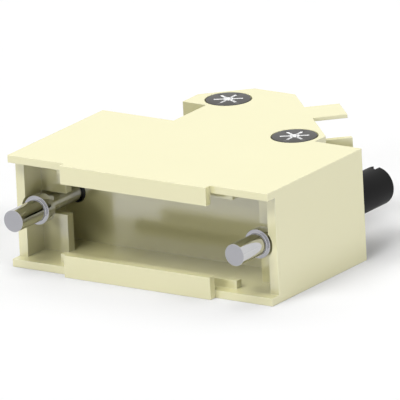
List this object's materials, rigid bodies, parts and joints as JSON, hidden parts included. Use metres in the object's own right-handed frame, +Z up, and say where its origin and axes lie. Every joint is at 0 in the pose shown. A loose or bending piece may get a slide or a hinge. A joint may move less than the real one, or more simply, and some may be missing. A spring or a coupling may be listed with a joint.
{
  "type": "d-sub hood",
  "caption": "Two-part moulded hood for a D-sub cable connector, with a slanted cable exit and captive jackscrews.",
  "frame": {"origin": "on the underside, on the centre line, in the plane of the plates' front edges", "axes": "+X along the mating face to the right seen from the front, +Y from the mating face to the rear, +Z up"},
  "size_m": [0.0392, 0.0411, 0.0147],
  "materials": {
    "cream_plastic": "smooth moulded, satin",
    "bright_steel": "polished, plated",
    "black_plastic": "moulded, satin",
    "black_nylon": "moulded, smooth",
    "dark_steel": "blackened",
    "zinc_steel": "zinc plated"
  },
  "bodies": {
    "hood": {"lower_shell": "cream_plastic", "upper_shell": "cream_plastic", "lower_shell_rear": "cream_plastic", "upper_shell_rear": "cream_plastic", "assembly_screw_rear": "dark_steel", "assembly_screw_side": "dark_steel", "nut_rear": "zinc_steel", "nut_side": "zinc_steel"},
    "left_ring": {"neck_ring_left": "black_nylon"},
    "right_ring": {"neck_ring_right": "black_nylon"},
    "left_screw": {"jackscrew_left": "bright_steel", "knob_left": "black_plastic"},
    "right_screw": {"jackscrew_right": "bright_steel", "knob_right": "black_plastic"}
  },
  "joints": [
    {"name": "left_float", "type": "slide", "parent": "hood", "child": "left_ring", "axis": [0, 1, 0], "range_m": [0, 0.0019]},
    {"name": "right_float", "type": "slide", "parent": "hood", "child": "right_ring", "axis": [0, 1, 0], "range_m": [0, 0.0019]},
    {"name": "left_spin", "type": "hinge", "parent": "left_ring", "child": "left_screw", "pos_m": [-0.01666, 0, 0.00732], "axis": [0, 1, 0], "continuous": true},
    {"name": "right_spin", "type": "hinge", "parent": "right_ring", "child": "right_screw", "pos_m": [0.01666, 0, 0.00732], "axis": [0, 1, 0], "continuous": true}
  ]
}
